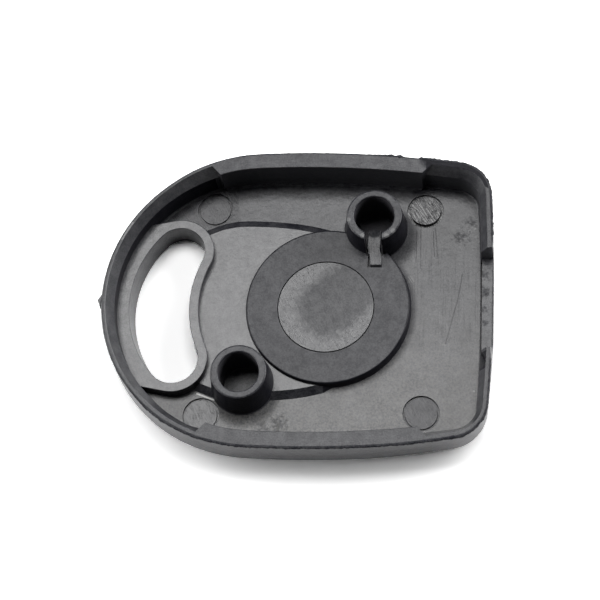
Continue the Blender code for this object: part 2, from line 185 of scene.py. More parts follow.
# Colours of the finishes
BLACK = (0.0090, 0.0094, 0.0130)
BLACK_LIGHT = (0.0480, 0.0485, 0.0530)
OUTER_LIGHT = (0.0330, 0.0335, 0.0370)
# Painted light: a paler base that lifts the inner walls, which stand in shade
WALL_BLACK = (0.040, 0.040, 0.046)
# Painted light: a paler base that lifts the black deep in the bores
BORE_BLACK = (0.055, 0.053, 0.060)
# Painted shade: darker colours for faces that stand in shade
SHADE_PAINTED_BLACK = (0.0055, 0.0055, 0.0080)
SHADE_PAINTED_PALE = (0.0130, 0.0130, 0.0165)
# Paler mottle of level tops: partly random tone, partly painted light that makes them lighter
MOTTLE_AND_SHEEN_PALE = (0.0620, 0.0625, 0.0660)
# Colour of the painted highlight on the floor, also used for pale scuffs
GLINT_AND_SCUFF_PALE = (0.62, 0.62, 0.60)
DUST = (0.22, 0.22, 0.22)
# Warm pale tint of the painted light that lightens the floor towards the near side
WARM_PAINTED_LIGHT = (0.240, 0.232, 0.205)
FOAM_DARK = (0.030, 0.030, 0.032)
FOAM_LIGHT = (0.075, 0.075, 0.078)

# Layers of noise in the moulded plastic, as size, offset, detail and roughness
PLASTIC_NOISE = {
    "coarse": (0.42 * MM, 3.1, 3.0, 0.5),
    "clouds": (2.4 * MM, 7.7, 3.0, 0.5),
    "spots": (0.17 * MM, 5.3, 3.0, 0.7),
    "patches": (1.0 * MM, 9.9, 4.0, 0.65),
    "dust": (0.16 * MM, 1.3, 3.0, 0.6),
}
NOISE_SHIFT = (1.0, 1.7, 0.6)
GRAIN_SIZE = 0.13 * MM
GRAIN_DEPTH = 0.009 * MM
COARSE_DEPTH = 0.020 * MM
CLOUD_GLOSS = 0.07
MOTTLE_SPAN = (0.36, 0.64)
DUST_SPAN = (0.68, 0.76)
DUST_SHARE = 0.3

# Torn patches, as how torn they are, the size of the tears and the span over which they fade
FILM = (1.0, 0.6 * MM, 0.16, 0.62)
FLECKS = (2.4, 0.36 * MM, 0.60, 1.30)
SMALL_SPECKS = (1.0, 0.2 * MM, 0.3, 0.6)
PALE_FILM_SHARE = 0.36
SPECK_SHARE = 0.6

# Scratches and the streaks on slopes
SCRATCH_SIZE = (1.6 * MM, 0.13 * MM)
SCRATCH_DEPTH = 0.006 * MM
SCRATCH_EDGE = 0.06
SCRATCH_DUST = 0.16
SCRATCH_FILLED = 0.7
MARK_SCRATCH_ANGLE = -58.0
EMBLEM_SCRATCH_ANGLE = -62.0
STREAK_PITCH = 0.16 * MM
STREAK_DRIFT = 0.3
STREAK_SPAN = (0.45, 0.70)
STREAK_DUST = 0.05

# On the floor: a warm painted light, mottled, that grows from far to near, and flow lines as
# angle, length, width, threshold and offset
PAINTED_LIGHT_SPAN = (6.0 * MM, -14.0 * MM)
PAINTED_LIGHT_SHARE = 0.13
PAINTED_LIGHT_GRAIN = 0.2 * MM
PAINTED_LIGHT_MOTTLE = (0.35, 0.65, 0.3, 1.7)
FLOW_LINES = (math.radians(90.0), 6.0 * MM, 0.12 * MM, 0.56, 8.4)
FLOW_PLACE = ((13.8, 1.2, 1.5), 8.5)
FLOW_SHARE = 0.3
HAIR_DULLNESS = 0.12
HAIR_DEPTH = 1.5 * SCRATCH_DEPTH

# Foam
FOAM_CELL = 0.08 * MM
FOAM_PORES = (0.1, 0.5)
FOAM_DEPTH = 0.3 * FOAM_CELL
FOAM_ROUGHNESS = (0.80, 0.92)

# Marks of use, and spots of painted light on the slopes, as spots (centre, reach) in millimetres
SMEAR = (((3.1, -0.1, 2.43), 5.5), ((4.6, 1.4, 2.43), 5.3), ((6.2, 2.8, 2.43), 4.6))
SPECKS = (((18.09, 9.25, 1.5), 0.24), ((18.13, -8.74, 1.5), 0.22))
SMUDGES = (((16.75, 8.26, 1.5), 2.6), ((17.6, 9.9, 1.5), 1.8), ((-1.6, -12.4, 1.5), 2.6),
           ((-3.2, -12.9, 1.5), 2.0))
ROOT_SHADE = (((7.65, 8.30, 2.78), 1.2),)
# Pale flecks painted on the slotted boss's ring, near its mouth
BOSS_PALE_FLECKS = (((5.11, 8.49, 5.5), 0.38), ((6.58, 6.68, 5.5), 0.42), ((9.08, 6.71, 5.5), 0.46),
             ((9.73, 7.25, 5.5), 0.46))
RIM_SMUDGE = (((13.4, 15.6, 5.5), 2.0),)
# Painted light: pale patches on the lip's slope near the near ledge's end and the corner
SLOPE_PAINTED_LIGHT = (((-10.5, -14.9, 4.9), 1.4), ((13.6, -15.0, 4.9), 2.6), ((15.2, -14.8, 4.9), 2.4),
              ((17.0, -13.9, 4.9), 2.2))
SILL_WEAR = (((19.10, 3.4, 2.65), 1.6), ((19.12, 1.6, 2.65), 1.6), ((19.10, -0.2, 2.65), 1.3),
             ((19.15, -1.8, 2.65), 1.0))

# Hairs as (start, end), and pale lines on the floor as (start, end, half width, share), in
# millimetres: the first is a painted highlight, the others pale scuffs
HAIRS = (
    ((16.84, 4.11), (16.47, 1.62)), ((16.47, 1.62), (15.19, -3.63)),
    ((12.00, 8.94), (11.99, 5.41)), ((12.44, 9.17), (12.48, 4.74)),
    ((13.74, 8.94), (13.91, 6.10)), ((13.96, 9.29), (14.28, 5.87)))
HAIR_HALF_WIDTH = 0.075
GLINT_AND_SCUFF_LINES = (
    ((-10.19, -9.32), (-8.36, -9.98), 0.13, 1.0),
    ((11.24, 3.72), (11.67, 3.05), 0.07, 0.16),
    ((11.45, 3.83), (11.83, 3.22), 0.06, 0.12),
    ((11.25, 3.33), (11.52, 2.82), 0.05, 0.1))

# Dull floor beside the bosses and the pad, as centre, reach and the share of it that is full
FLOOR_SHADE = (((-5.30, -9.30, 1.5), 4.0, 0.62), ((8.70, 8.30, 1.5), 4.0, 0.62),
               ((3.18, -0.09, 1.5), 9.25, 0.90))
FLOOR_SHADE_DULLNESS = 0.35

# The stretch of rim round the far blade-end corner that is painted in shade, as corners in
# millimetres; its first two sides cross the rim
SHADED_RIM_CORNERS = ((13.0, 12.0), (13.0, 15.05), (11.6, 15.7), (11.6, 18.0), (21.0, 18.0), (21.0, 9.5))

# Table, room and softboxes; the angles are in degrees
TABLE_WHITE = (0.90, 0.90, 0.90)
TABLE_SEEN_WHITE = 0.56
TABLE_ROUGHNESS = 0.9
PAPER_SIZE = 4.0 * MM
PAPER_MOTTLE = (0.2, 0.8)
PAPER_SHADE = 0.995
TABLE_HALF_SIZE = 1.5
TABLE_FADE_SPAN = (0.10, 0.30)
ROOM_LIGHT = 0.02
ROOM_DARK = 0.05
HORIZON_SPAN = (0.06, 0.18)
SOFTBOXES = {
    "top_box": {"azimuth": 100, "elevation": 71, "size": (0.64, 0.28), "radiance": 6.5},
    "right_box": {"azimuth": 30, "elevation": 22, "size": (0.70, 0.30), "radiance": 10.6},
    "left_box": {"azimuth": 176, "elevation": 20, "size": (0.70, 0.40), "radiance": 6.4},
}
SOFTBOX_DISTANCE = 0.70

# Camera that took the photograph: place in millimetres, turn in degrees
CAMERA_PLACE = (19.50, -67.65, 177.48)
CAMERA_TURN = (21.465, 5.377, 2.433)
CAMERA_LENS = 109.35
CAMERA_SENSOR = 36.0
CAMERA_CLIP = (0.01, 20.0)

# Flash on the rim and sill, and the stub of the gate: the section in shares of the half width,
# then the half width along X, as (place, half width) in millimetres
FLASH_SECTION = ((-1.0, -0.5), (-0.9, 0.15), (-0.2, 0.45), (0.5, 0.25), (1.0, -0.25), (0.3, -1.0))
FAR_FLASH = (
    (-8.0, 0.04), (6.5, 0.05), (8.0, 0.10), (9.0, 0.19), (10.4, 0.19), (10.8, 0.012), (12.1, 0.012),
    (12.4, 0.19), (16.2, 0.21), (17.2, 0.12), (19.4, 0.12), (19.9, 0.18), (20.1, 0.19))
NEAR_FLASH = (
    (-16.2, 0.07), (-14.0, 0.15), (-9.0, 0.16), (9.0, 0.17), (17.0, 0.22), (19.3, 0.18),
    (19.8, 0.12), (20.1, 0.11))
FAR_FLASH_TORN = 0.6
NEAR_FLASH_TORN = 0.35
FLASH_SPACING = 0.10 * MM
FLASH_TAPER = 14
FLASH_TEAR = 0.45 * MM
FLASH_WAVE = 2.2 * MM
FLASH_WAVE_SHARE = 0.55
FLASH_WAVE_ROW = 9.0
FLASH_GRAIN = 0.22 * MM
FLASH_JAG = 0.35
FLASH_JAG_ROW = 3.7
FLASH_LEAST = 0.12
FLASH_SEAT = 0.32
FLASH_SILL_INSET = 0.16 * MM
SILL_FLASH_HALF_WIDTH = 0.05 * MM
SILL_FLASH_SHARE = 0.98
FAR_FLASH_END = -8.0 * MM
GATE = ((-20.46, 0.16), (-20.36, 0.22), (-20.25, 0.30), (-20.00, 0.95), (-19.80, 0.95))
GATE_LEVEL = 5.05 * MM
GATE_Y = -0.45 * MM
GATE_TORN = 0.4
GATE_TAPER = 1

# How deep in the floor forms start and how far cuts run past it, and two tolerances
EMBED = 0.40 * MM
OVERRUN = 1.00 * MM
SAME_POINT = 0.0005 * MM
SKIN = 0.02 * MM

# Segments of the outlines' arcs, and of the rounds between a solid's layers
END_STEPS = 84
SIDE_STEPS = 28
CORNER_STEPS = 16
BLADE_END_STEPS = 12
SLOT_END_STEPS = 28
SLOT_SIDE_STEPS = 30
ROUND_STEPS = 128
BORE_STEPS = 72
ROUNDING_STEPS = 4
ROUNDING_LENGTH = 0.20 * MM
SMOOTH_ANGLE = math.radians(27)

# Insets from the outline and levels over the table
LIP_INSET = OUTER_DRAFT + LIP_WIDTH
WALL_INSET = OUTER_DRAFT + WALL
LEDGE_INSET = OUTER_DRAFT + LEDGE_WIDTH
COLLAR_TOP = FLOOR + COLLAR_RISE
PLATEAU_TOP = FLOOR + PLATEAU_RISE
PAD_TOP = FLOOR + PAD_RISE
SILL_TOP = FLOOR + BLADE_SILL_RISE
RIB_TOP = FLOOR + RIB_RISE
FLANGE_TOP = EMBLEM_SINK + EMBLEM_FLANGE_THICKNESS

# How near a face lies to its level, and how squarely level, tilted and sloped faces face up
LEVEL_TOLERANCE = 0.012 * MM
LEVEL_NORMAL = 0.93
TILTED_NORMAL = 0.50
SLOPE_NORMAL = 0.30


# ---- outlines, seen from above

def bearing(vector):
    return math.atan2(vector.y, vector.x)


def polar(angle, radius=1.0):
    return radius * Vector((math.cos(angle), math.sin(angle)))


def arc(centre, radius, start, end, steps):
    """Points on an arc from the angle start to the angle end, both included."""
    return [centre + polar(start + (end - start) * i / steps, radius) for i in range(steps + 1)]


def ease(value, start, end):
    amount = max(0.0, min(1.0, (value - start) / (end - start)))
    return amount * amount * (3.0 - 2.0 * amount)


def table(value, stops):
    """The value between the stops (place, amount), in a straight line from stop to stop."""
    for (start, low), (end, high) in zip(stops, stops[1:]):
        if value <= end:
            return low + (high - low) * max(0.0, value - start) / (end - start)
    return stops[-1][1]


def mirrored(points):
    """The same run of points on the other side of the X axis, in reversed order."""
    return [Vector((p.x, -p.y)) for p in reversed(points)]


def joined(*runs):
    """One closed outline from runs that meet at shared end points."""
    points = []
    for run in runs:
        for point in run:
            if not points or (point - points[-1]).length > SAME_POINT:
                points.append(point)
    if (points[0] - points[-1]).length < SAME_POINT:
        points.pop()
    return points


def circles_meet(first, first_radius, second, second_radius):
    """The upper of the two points where two circles cross."""
    apart = second - first
    distance = apart.length
    along = (first_radius ** 2 - second_radius ** 2 + distance ** 2) / (2 * distance)
    across = math.sqrt(first_radius ** 2 - along ** 2)
    foot = first + apart * (along / distance)
    side = Vector((-apart.y, apart.x)) * (across / distance)
    return max(foot + side, foot - side, key=lambda point: point.y)


def shell_arcs():
    """Centres and radii of the outline's arcs, and the angles where they meet."""
    side_centre = Vector((SIDE_CREST_X, WIDTH / 2 - SIDE_RADIUS))
    reach = -LENGTH / 2 - SIDE_CREST_X
    spare = SIDE_RADIUS * WIDTH - WIDTH ** 2 / 4 - reach ** 2
    round_radius = spare / (2 * (SIDE_RADIUS + reach))
    round_centre = Vector((-LENGTH / 2 + round_radius, 0.0))
    end_centre = Vector((LENGTH / 2 - BLADE_END_RADIUS, 0.0))
    corner_centre = circles_meet(
        side_centre, SIDE_RADIUS - CORNER_RADIUS, end_centre, BLADE_END_RADIUS - CORNER_RADIUS)
    return {
        "round": (round_centre, round_radius),
        "side": (side_centre, SIDE_RADIUS),
        "end": (end_centre, BLADE_END_RADIUS),
        "corner": (corner_centre, CORNER_RADIUS),
        "round_start": bearing(round_centre - side_centre),
        "side_start": bearing(corner_centre - side_centre),
        "corner_start": bearing(corner_centre - end_centre),
    }


def shell_outline(inset):
    """The cover's outline, moved inwards by inset, anticlockwise."""
    arcs = shell_arcs()

    def run(name, start, end, steps):
        centre, radius = arcs[name]
        return arc(centre, radius - inset, start, end, steps)

    blade_end = run("end", -arcs["corner_start"], arcs["corner_start"], BLADE_END_STEPS)
    corner = run("corner", arcs["corner_start"], arcs["side_start"], CORNER_STEPS)
    side = run("side", arcs["side_start"], arcs["round_start"], SIDE_STEPS)
    round_end = run("round", arcs["round_start"], 2 * math.pi - arcs["round_start"], END_STEPS)
    return joined(blade_end, corner, side, round_end, mirrored(side), mirrored(corner))


def slot_arcs():
    """Centres of the keyring slot's two sides and upper round end, and that end's radius."""
    outer_x = -LENGTH / 2 + SLOT_END_MARGIN
    outer_centre = Vector((outer_x + SLOT_OUTER_RADIUS, 0.0))
    inner_centre = Vector((outer_x + SLOT_WIDTH + SLOT_INNER_RADIUS, 0.0))
    apart = inner_centre.x - outer_centre.x
    steep = (SLOT_OUTER_RADIUS + SLOT_INNER_RADIUS) / apart
    start = (apart + steep * (SLOT_OUTER_RADIUS - SLOT_INNER_RADIUS)) / 2
    linear = start * steep - SLOT_OUTER_RADIUS
    constant = start ** 2 + SLOT_END_Y ** 2 - SLOT_OUTER_RADIUS ** 2
    square = steep ** 2 - 1
    end_radius = (linear + math.sqrt(linear ** 2 - square * constant)) / square
    end_centre = Vector((outer_centre.x + start - steep * end_radius, SLOT_END_Y))
    return outer_centre, inner_centre, end_centre, end_radius


def slot_inner_side(radius):
    """The slot's side towards the pad at a radius, and the angle where its far end starts."""
    _, inner_centre, end_centre, _ = slot_arcs()
    start = bearing(inner_centre - end_centre)
    side = arc(inner_centre, radius, math.pi - start, math.pi + start, SLOT_SIDE_STEPS)
    return side, start


def slot_outline(inset):
    """The keyring slot's edge, moved towards the slot's middle by inset."""
    outer_centre, _, end_centre, end_radius = slot_arcs()
    inner, inner_start = slot_inner_side(SLOT_INNER_RADIUS + inset)
    outer_start = bearing(end_centre - outer_centre)
    end = arc(end_centre, end_radius - inset, inner_start, outer_start, SLOT_END_STEPS)
    outer = arc(
        outer_centre, SLOT_OUTER_RADIUS - inset,
        outer_start, 2 * math.pi - outer_start, SLOT_SIDE_STEPS)
    return joined(end, outer, mirrored(end), inner)


def collar_outline(inset):
    """The collar round the slot, with straight shoulders into the round end's wall."""
    _, _, end_centre, slot_end_radius = slot_arcs()
    inner, inner_start = slot_inner_side(SLOT_INNER_RADIUS - COLLAR_WIDTH + inset)
    round_centre, round_radius = shell_arcs()["round"]
    wall_radius = round_radius - OUTER_DRAFT - WALL / 2
    end_radius = slot_end_radius + COLLAR_WIDTH
    shoulder_y = end_centre.y + COLLAR_SHOULDER_SHARE * end_radius
    shoulder = round_centre + polar(math.pi - math.asin(shoulder_y / wall_radius), wall_radius)
    apart = shoulder - end_centre
    shoulder_start = bearing(apart) - math.acos(end_radius / apart.length)
    corner = shoulder - polar(shoulder_start, inset) - round_centre
    end = arc(end_centre, end_radius - inset, inner_start, shoulder_start, SLOT_END_STEPS)
    wall = arc(
        round_centre, corner.length, bearing(corner), 2 * math.pi - bearing(corner), END_STEPS // 2)
    return joined(end, wall, mirrored(end), inner)


def plateau_outline(inset):
    """The plateau's edge, moved inwards by inset: from under the collar to under the pad."""
    crest_radius = PLATEAU_SIDE_RADIUS - inset
    crest_centre = Vector((PLATEAU_CREST_X, PLATEAU_WIDTH / 2 - PLATEAU_SIDE_RADIUS))
    start = math.acos((PAD_CENTRE.x - PLATEAU_CREST_X) / crest_radius)
    end = math.acos((slot_arcs()[2].x - PLATEAU_CREST_X) / crest_radius)
    side = arc(crest_centre, crest_radius, start, end, SLOT_SIDE_STEPS)
    far, near = (
        [point + Vector((0.0, table(point.x / MM, bend) * MM)) for point in side]
        for bend in (PLATEAU_FAR_BEND, PLATEAU_NEAR_BEND))
    run_out = PAD_CENTRE + polar(math.pi / 3, PAD_RADIUS - PLATEAU_SLOPE_RUN)
    return joined([run_out], far, mirrored(near), mirrored([run_out]))


def disc(centre, radius, steps=ROUND_STEPS):
    return arc(centre, radius, 0.0, 2 * math.pi * (steps - 1) / steps, steps - 1)


def circle(centre, radius, steps=ROUND_STEPS):
    """An outline function of a round form, for solids of several layers."""
    return lambda inset: disc(centre, radius - inset, steps)


def box_outline(left, right, near, far):
    """An outline function of an upright rectangle."""
    return lambda inset: [
        Vector((left + inset, near + inset)), Vector((right - inset, near + inset)),
        Vector((right - inset, far - inset)), Vector((left + inset, far - inset))]


# ---- solids

def profile(*corners):
    """Layers (inset, height) through corners (inset, height, radius), each corner rounded."""
    points = [Vector(corner[:2]) for corner in corners]
    layers = [points[0]]

    def add(point):
        if (point - layers[-1]).length > SAME_POINT:
            layers.append(point)

    for before, corner, after, (_, _, radius) in zip(points, points[1:], points[2:], corners[1:]):
        if radius == 0.0:
            add(corner)
            continue
        back = (before - corner).normalized()
        ahead = (after - corner).normalized()
        half = back.angle(ahead) / 2
        centre = corner + (back + ahead).normalized() * (radius / math.sin(half))
        start = bearing(corner + back * (radius / math.tan(half)) - centre)
        end = bearing(corner + ahead * (radius / math.tan(half)) - centre)
        turn = (end - start + math.pi) % (2 * math.pi) - math.pi
        steps = max(ROUNDING_STEPS, round(radius / ROUNDING_LENGTH))
        for point in arc(centre, radius, start, start + turn, steps):
            add(point)
    add(points[-1])
    return layers


def add_object(name, data):
    obj = bpy.data.objects.new(name, data)
    bpy.context.scene.collection.objects.link(obj)
    return obj


def add_mesh(name, mesh):
    """An object of the mesh that was built, which is freed."""
    data = bpy.data.meshes.new(name)
    mesh.to_mesh(data)
    mesh.free()
    return add_object(name, data)


def loft(name, rings):
    """A closed solid through rings of points, which run clockwise as seen from the first ring."""
    mesh = bmesh.new()
    rings = [[mesh.verts.new(point) for point in ring] for ring in rings]
    mesh.faces.new(rings[0][::-1])
    mesh.faces.new(rings[-1])
    for low, high in zip(rings, rings[1:]):
        for i in range(len(low)):
            j = (i + 1) % len(low)
            mesh.faces.new((low[i], low[j], high[j], high[i]))
    return add_mesh(name, mesh)


def solid(name, outline, *corners):
    """A closed solid through an outline's layers, by a profile that runs from the lowest up."""
    return loft(name, [[(p.x, p.y, z) for p in outline(inset)] for inset, z in profile(*corners)])


def apply_solid(target, operation, guide):
    """Join a solid to the target, or cut it out."""
    modifier = target.modifiers.new(guide.name, "BOOLEAN")
    modifier.operation = operation
    modifier.object = guide
    modifier.solver = "EXACT"
    return guide


def combine(target, operation, name, outline, *corners):
    return apply_solid(target, operation, solid(name, outline, *corners))


def bake_modifiers(obj, guides):
    """Replace the object's mesh by the result of its modifiers, and remove the guides."""
    evaluated = obj.evaluated_get(bpy.context.evaluated_depsgraph_get())
    data = bpy.data.meshes.new_from_object(evaluated)
    obj.modifiers.clear()
    obj.data = data
    for guide in guides:
        bpy.data.objects.remove(guide, do_unlink=True)


def raised(top, edge=EDGE_ROUND, foot=FOOT_ROUND, draft=0.0):
    """The side of a form that stands on the floor, rounded at its foot and top edge."""
    return (
        (-draft - foot, FLOOR - EMBED), (-draft - foot, FLOOR, 0.0), (-draft, FLOOR, foot),
        (0.0, top, edge), (edge, top))


def opening(bottom, top, edge=EDGE_ROUND, foot=0.0):
    """The side of a cut from the level bottom up past the level top, rounded at both."""
    return (
        (foot, bottom), (0.0, bottom, foot), (0.0, top, edge),
        (-edge, top, 0.0), (-edge, top + OVERRUN))


# ---- the cover

def outer_side():
    """The cover's outside: rounded lower edge, drafted wall, and rounded rim edge."""
    return (
        (OUTER_EDGE_RADIUS, 0.0), (0.0, 0.0, OUTER_EDGE_RADIUS), (0.0, OUTER_EDGE_RADIUS, 0.0),
        (OUTER_DRAFT, HEIGHT, RIM_ROUND), (OUTER_DRAFT + RIM_ROUND, HEIGHT))


def cavity_side():
    """The hollow inside the plain wall, widening along the lip's sloped face."""
    slope = math.atan2(LIP_DROP, WALL_INSET - LIP_INSET)
    mouth = LIP_INSET - EDGE_ROUND * math.tan(slope / 2)
    return (
        (WALL_INSET + FOOT_FILLET, FLOOR), (WALL_INSET, FLOOR, FOOT_FILLET),
        (WALL_INSET, HEIGHT - LIP_DROP, FOOT_ROUND), (LIP_INSET, HEIGHT, EDGE_ROUND),
        (mouth, HEIGHT, 0.0), (mouth, HEIGHT + OVERRUN))


def cavity_outline(inset):
    """The hollow's outline: a wider lip at the blade end, a thinner wall at the keyring end."""
    share = max(0.0, min(1.0, (WALL_INSET - inset) / (WALL_INSET - LIP_INSET)))
    plain = shell_outline(inset)
    wide_lip = shell_outline(inset + LIP_EXTRA * share)
    thin_wall = shell_outline(inset - WALL_THINNING * (1.0 - share))
    points = []
    for place, blade_end, keyring_end in zip(plain, wide_lip, thin_wall):
        near = ease(place.x, *NEAR_SPAN_X) * ease(place.y, *NEAR_SPAN_Y)
        lip = max(ease(place.x, *LIP_EXTRA_SPAN), NEAR_LIP_SHARE * near)
        thin = max(ease(place.x, *WALL_THIN_SPAN), near)
        shift = Vector((BLADE_END_SHIFT * ease(place.x, *BLADE_END_SHIFT_SPAN), 0.0))
        points.append(place + (blade_end - place) * lip + (keyring_end - place) * thin + shift)
    return points


def rib_outline(inset):
    """The rib seen from above: it fills the boss's mouth, and is narrower beyond it."""
    left, right = [], []
    for west, east, away in RIB_SIDES:
        y = SLOTTED_BOSS.y - away * MM + (inset if away == RIB_SIDES[-1][2] else 0.0)
        left.append(Vector((SLOTTED_BOSS.x + west * MM + inset, y)))
        right.append(Vector((SLOTTED_BOSS.x + east * MM - inset, y)))
    return list(reversed(right)) + left


def between_ledges_side():
    """What the ledges leave open: all that lies further in than their inner faces."""
    return (
        (LEDGE_INSET + FLOOR_FILLET, FLOOR - 2 * OVERRUN), (LEDGE_INSET + FLOOR_FILLET, FLOOR, 0.0),
        (LEDGE_INSET, FLOOR, FLOOR_FILLET), (LEDGE_INSET, HEIGHT, EDGE_ROUND),
        (LEDGE_INSET - EDGE_ROUND, HEIGHT, 0.0), (LEDGE_INSET - EDGE_ROUND, HEIGHT + 3 * OVERRUN))


def ledge_outline(side):
    """An outline function of the stretch of rim that a ledge fills; side is +1 or -1."""
    near = side * (WIDTH / 2 - LEDGE_INSET - LEDGE_END_SLANT)
    far = side * (WIDTH / 2 + OVERRUN)
    slant = abs(far - near)
    left = LEDGE_KEYRING_END_X + LEDGE_END_SLANT
    right = LEDGE_BLADE_END_X - LEDGE_END_SLANT
    points = [
        Vector((left, near)), Vector((right, near)),
        Vector((right + slant, far)), Vector((left - slant, far))]
    return lambda inset: points if side > 0 else points[::-1]


def make_hollow(cover):
    """Cut out the hollow, less the two ledges, and the blade opening; gives the guides."""
    guides = [combine(cover, "DIFFERENCE", "cut_inside_wall", cavity_outline, *cavity_side())]
    for side, name in ((1, "far_ledge"), (-1, "near_ledge")):
        ledge = solid(
            name, ledge_outline(side), (0.0, FLOOR - OVERRUN), (0.0, HEIGHT + 2 * OVERRUN))
        guides.append(combine(
            ledge, "DIFFERENCE", name + "_face", shell_outline, *between_ledges_side()))
        guides.append(apply_solid(guides[0], "DIFFERENCE", ledge))
    mouth = box_outline(
        LENGTH / 2 - WALL_INSET - FLOOR_FILLET, LENGTH / 2 + OVERRUN,
        -BLADE_OPENING_WIDTH / 2, BLADE_OPENING_WIDTH / 2)
    guides.append(combine(
        cover, "DIFFERENCE", "cut_blade_opening", mouth, *opening(SILL_TOP, HEIGHT)))
    return guides


def mark_places():
    """Centre and lift of the four witness marks of the mould's ejector pins."""
    keyring_x = -LENGTH / 2 + MARK_KEYRING_MARGIN
    blade_x = LENGTH / 2 - MARK_BLADE_MARGIN
    side_y = WIDTH / 2 - MARK_SIDE_MARGIN
    places = {}
    for name, shift in MARK_SHIFTS.items():
        end, side = name.split("_")
        corner = Vector((
            keyring_x if end == "keyring" else blade_x, side_y if side == "far" else -side_y))
        lift = MARK_LIFT if name == "blade_far" else -MARK_SINK
        places[name] = (corner + Vector(shift) * MM, lift)
    return places


def make_cover():
    """The same cover as the CAD node, with the real moulding's rounds, drafts and flaws."""
    cover = solid("cover_fine", shell_outline, *outer_side())
    guides = make_hollow(cover)

    def add(name, outline, *corners):
        guides.append(combine(cover, "UNION", "add_" + name, outline, *corners))

    def cut(name, outline, *corners):
        guides.append(combine(cover, "DIFFERENCE", "cut_" + name, outline, *corners))

    add("plateau", plateau_outline,
        (-PLATEAU_SLOPE_RUN, FLOOR - EMBED), (-PLATEAU_SLOPE_RUN, FLOOR, 0.0),
        (PLATEAU_EASING, PLATEAU_TOP, EDGE_ROUND), (PLATEAU_EASING + EDGE_ROUND, PLATEAU_TOP))
    add("collar", lambda inset: collar_outline(inset - COLLAR_EXTRA),
        *raised(COLLAR_TOP, COLLAR_ROUND))
    add("pad", circle(PAD_CENTRE + PAD_SHIFT, PAD_RADIUS + PAD_EXTRA),
        *raised(PAD_TOP, PAD_ROUND, PAD_FOOT, PAD_DRAFT))
    for name, centre in BOSSES.items():
        add(name + "_boss", circle(centre, BOSS_TOP_RADIUS + RING_EXTRA, BORE_STEPS),
            *raised(HEIGHT, BOSS_ROUND, FOOT_ROUND, BOSS_FOOT_WIDENING))
    mouth = -SLOT_TOP_EXTRA - EDGE_ROUND
    cut("keyring_slot", slot_outline,
        (-SLOT_FOOT_EXTRA, -OVERRUN), (-SLOT_FOOT_EXTRA, 0.0, 0.0),
        (-SLOT_TOP_EXTRA, COLLAR_TOP, EDGE_ROUND),
        (mouth, COLLAR_TOP, 0.0), (mouth, COLLAR_TOP + OVERRUN))
    for name, centre in BOSSES.items():
        cut(name + "_bore", circle(centre, BOSS_BORE_RADIUS - RING_EXTRA, BORE_STEPS),
            *opening(BORE_FLOOR, HEIGHT, BORE_ROUND, FOOT_ROUND))
    mouth = box_outline(
        SLOTTED_BOSS.x - BOSS_SLOT_WIDTH / 2 - MOUTH_EXTRA, SLOTTED_BOSS.x + BOSS_SLOT_WIDTH / 2,
        SLOTTED_BOSS.y - BOSS_TOP_RADIUS - 2 * BOSS_DRAFT_WIDENING, SLOTTED_BOSS.y)
    cut("boss_mouth", mouth, *opening(PAD_TOP, HEIGHT))
    add("rib", rib_outline, *raised(RIB_TOP, RIB_ROUND, GAP_EDGE_ROUND))
    cut("emblem_recess", circle(PAD_CENTRE, EMBLEM_FLANGE_RADIUS),
        (-EMBLEM_CLEARANCE, -OVERRUN), (-EMBLEM_CLEARANCE, RECESS_DEPTH))
    cut("emblem_bore", circle(PAD_CENTRE, SPIGOT_RADIUS + EMBLEM_CLEARANCE),
        *opening(-OVERRUN, PAD_TOP, GAP_EDGE_ROUND))
    for name, (centre, lift) in mark_places().items():
        groove = (RAISED_MARK_GROOVE if lift > 0.0 else MARK_GROOVE) / 2
        cut("mark_" + name, circle(centre, MARK_RADIUS + groove, BORE_STEPS),
            *opening(FLOOR - MARK_GROOVE_DEPTH, FLOOR, GAP_EDGE_ROUND))
        add("mark_" + name, circle(centre, MARK_RADIUS - groove, BORE_STEPS),
            (0.0, FLOOR - EMBED), (0.0, FLOOR + lift, GAP_EDGE_ROUND),
            (GAP_EDGE_ROUND, FLOOR + lift))
    for name, (level, corners) in SCOOPS.items():
        points = [Vector(corner) * MM for corner in corners]
        cut("scoop_" + name, lambda inset, points=points: points,
            (0.0, level * MM), (0.0, HEIGHT + OVERRUN))
    bake_modifiers(cover, guides)
    return cover


def settle(obj):
    """Move what is near the outer wall to the real moulding's uneven outline."""
    for vertex in obj.data.vertices:
        place = vertex.co.xy
        depth = max(0.0, shell_distance(place))
        if depth < TRUE_REACH:
            direction = math.degrees(bearing(place)) % 360.0
            low = max(0.0, 1.0 - vertex.co.z / HEIGHT)
            out = table(direction, OUT_OF_TRUE) - low * table(direction, FOOT_TUCK)
            place += place.normalized() * (out * MM * (1.0 - depth / TRUE_REACH))
            vertex.co.x, vertex.co.y = place


# ---- flash and gate

def resampled(points, spacing):
    """Points at an even spacing along an open run of points."""
    out = [points[0]]
    spare = spacing
    for start, end in zip(points, points[1:]):
        length = (end - start).length
        while spare <= length:
            out.append(start.lerp(end, spare / length))
            spare += spacing
        spare -= length
    return out


